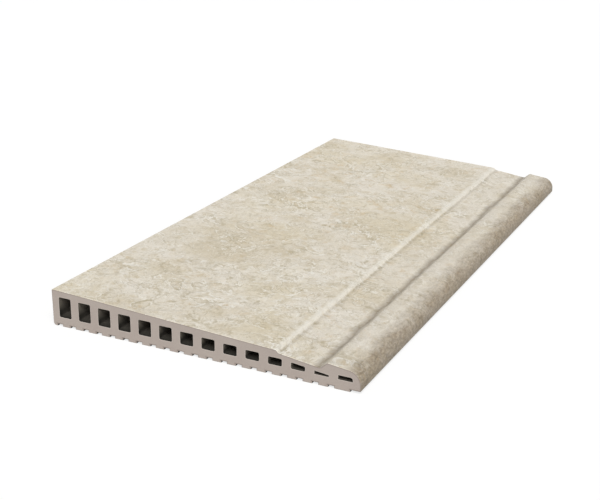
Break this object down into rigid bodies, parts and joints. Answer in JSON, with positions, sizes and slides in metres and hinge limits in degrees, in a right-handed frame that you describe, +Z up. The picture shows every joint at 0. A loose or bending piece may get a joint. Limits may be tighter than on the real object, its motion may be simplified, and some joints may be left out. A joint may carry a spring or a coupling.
{
  "type": "pool coping tile",
  "caption": "Hollow extruded ceramic pool edge tile with a sloping deck, a grip channel behind a rounded nose, through cells and key grooves beneath.",
  "frame": {"origin": "middle of the tile's outline, on the plane of the rib soles that it lies on", "axes": "+X from the back face to the nose, +Y along the tile, +Z up from the soles"},
  "size_m": [0.31, 0.626, 0.0359],
  "materials": {
    "stoneware": "matt stone-look glaze on the deck, channel and nose, bare fired body elsewhere"
  },
  "bodies": {
    "root": {"coping_tile": "stoneware"}
  },
  "joints": []
}
